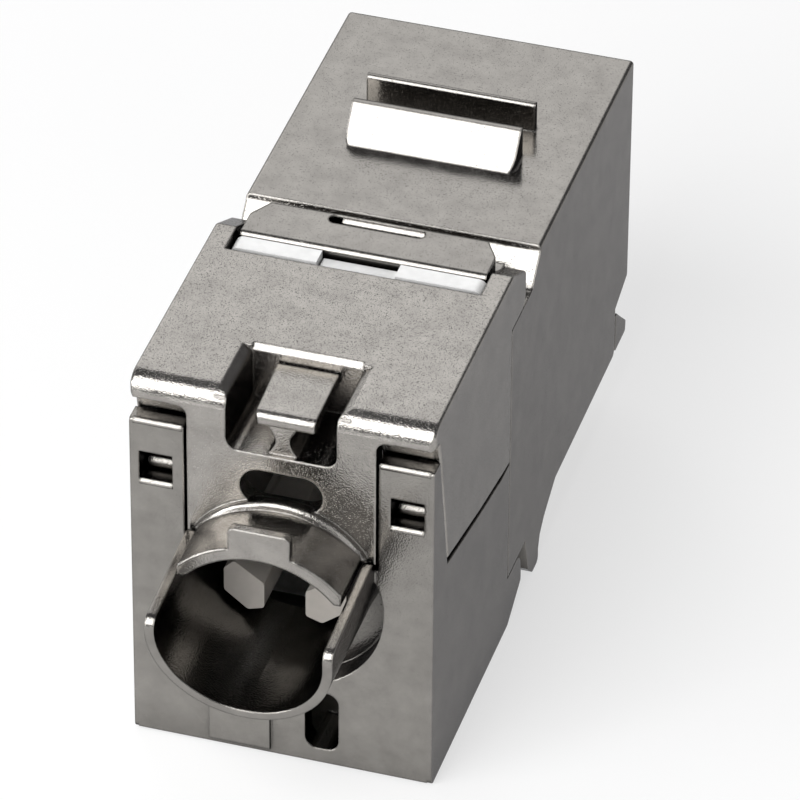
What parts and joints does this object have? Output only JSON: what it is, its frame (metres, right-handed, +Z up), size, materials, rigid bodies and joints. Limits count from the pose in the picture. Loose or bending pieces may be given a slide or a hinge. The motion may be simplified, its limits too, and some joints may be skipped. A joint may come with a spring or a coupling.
{
  "type": "keystone jack",
  "caption": "Shielded keystone jack with a die-cast housing, a front plug port, two hinged rear jaws that clamp the cable, and a rocking panel latch.",
  "frame": {"origin": "centre of the bounding box in X and Y, at the underside of the closed lower jaw", "axes": "+Z up from the latch side to the snap ridges, +Y from the plug port to the cable, +X across the jack"},
  "size_m": [0.0144, 0.0402, 0.0207],
  "materials": {
    "zinc_casting": "satin",
    "black_plastic": "moulded",
    "white_plastic": "moulded",
    "contact_metal": "gold plated",
    "tinned_metal": "tin plated",
    "board": "coated"
  },
  "bodies": {
    "housing": {"front_housing": "zinc_casting", "port_insert": "black_plastic", "contact_carrier": "black_plastic", "port_contact_1": "contact_metal", "port_contact_2": "contact_metal", "port_contact_3": "contact_metal", "port_contact_4": "contact_metal", "port_contact_5": "contact_metal", "port_contact_6": "contact_metal", "port_contact_7": "contact_metal", "port_contact_8": "contact_metal", "contact_board": "board", "idc_block": "white_plastic", "idc_contact_1": "tinned_metal", "idc_contact_2": "tinned_metal", "idc_contact_3": "tinned_metal", "idc_contact_4": "tinned_metal", "idc_contact_5": "tinned_metal", "idc_contact_6": "tinned_metal", "idc_contact_7": "tinned_metal", "idc_contact_8": "tinned_metal", "shield_spring_right": "tinned_metal", "shield_spring_left": "tinned_metal", "wire_manager": "white_plastic"},
    "upper_jaw": {"upper_jaw": "zinc_casting"},
    "lower_jaw": {"lower_jaw": "zinc_casting"},
    "latch": {"keystone_latch": "zinc_casting"}
  },
  "joints": [
    {"name": "lower_jaw_hinge", "type": "hinge", "parent": "housing", "child": "lower_jaw", "pos_m": [0, -0.0004, 0.0021], "axis": [-1, 0, 0], "range_deg": [0, 60]},
    {"name": "upper_jaw_hinge", "type": "hinge", "parent": "housing", "child": "upper_jaw", "pos_m": [0, -0.0004, 0.0184], "axis": [1, 0, 0], "range_deg": [0, 60]},
    {"name": "latch_press", "type": "hinge", "parent": "housing", "child": "latch", "pos_m": [0, -0.0106, 0.00375], "axis": [1, 0, 0], "range_deg": [0, 5], "stiffness_Nm_per_rad": 0.35}
  ],
  "couplings": [
    {"joint": "upper_jaw_hinge", "follows": "lower_jaw_hinge", "ratio": 1}
  ]
}
